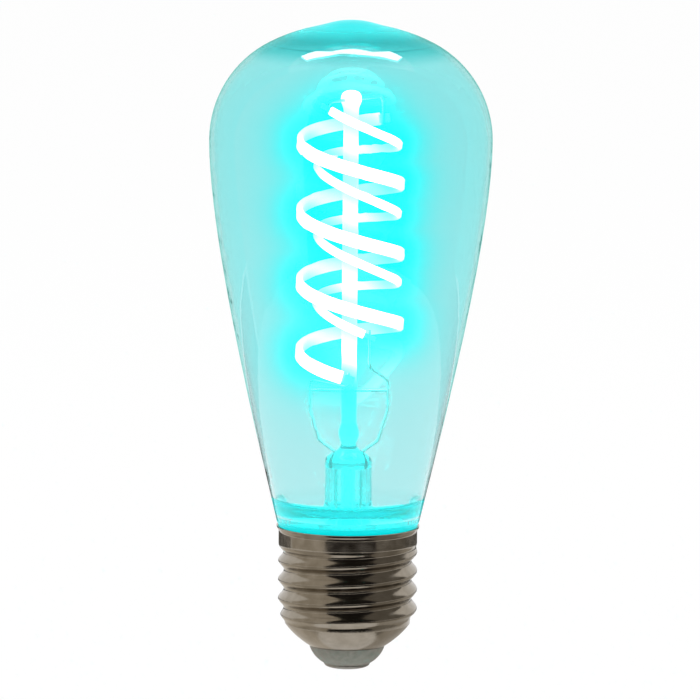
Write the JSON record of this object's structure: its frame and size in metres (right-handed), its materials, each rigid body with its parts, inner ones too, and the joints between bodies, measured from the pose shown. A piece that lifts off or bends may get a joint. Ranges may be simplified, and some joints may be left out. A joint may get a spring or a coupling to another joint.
{
  "type": "vintage filament led bulb",
  "caption": "Clear teardrop lamp with spiral filament strips wound round a glass stem, on a gunmetal screw cap.",
  "frame": {"origin": "middle of the centre contact's face", "axes": "+Z along the lamp's axis from the centre contact to the top of the glass, +X to the right in the picture, -Y towards the viewer"},
  "size_m": [0.0536, 0.0534, 0.1236],
  "materials": {
    "envelope_glass": "clear blown glass, tinted by the cyan light",
    "stem_glass": "clear drawn glass",
    "filament": "silicone jacket over lit diodes",
    "lead_metal": "nickel wire",
    "cap_metal": "polished gunmetal plating",
    "insulator": "moulded grey, satin",
    "contact_metal": "tinned, dull",
    "cement": "baked capping cement",
    "board": "lacquered circuit board",
    "component_black": "moulded epoxy",
    "capacitor_can": "drawn can",
    "resistor_body": "lacquered",
    "solder": "bright solder"
  },
  "bodies": {
    "root": {"glass_envelope": "envelope_glass", "stem_tube": "stem_glass", "exhaust_tube": "stem_glass", "stem_rod": "stem_glass", "filament_a": "filament", "filament_b": "filament", "filament_a_lower_tab": "lead_metal", "filament_a_upper_tab": "lead_metal", "filament_b_lower_tab": "lead_metal", "filament_b_upper_tab": "lead_metal", "lead_wire_left": "lead_metal", "lead_wire_right": "lead_metal", "support_arm_left": "lead_metal", "support_arm_right": "lead_metal", "top_link_wire": "lead_metal", "cap_shell": "cap_metal", "cap_insulator": "insulator", "centre_contact": "contact_metal", "capping_cement": "cement", "driver_board": "board", "bridge_rectifier": "component_black", "driver_chip": "component_black", "smoothing_capacitor": "capacitor_can", "fuse_resistor": "resistor_body", "chip_resistors": "component_black", "shell_wire": "lead_metal", "contact_wire": "lead_metal", "solder_joints": "solder"}
  },
  "joints": []
}
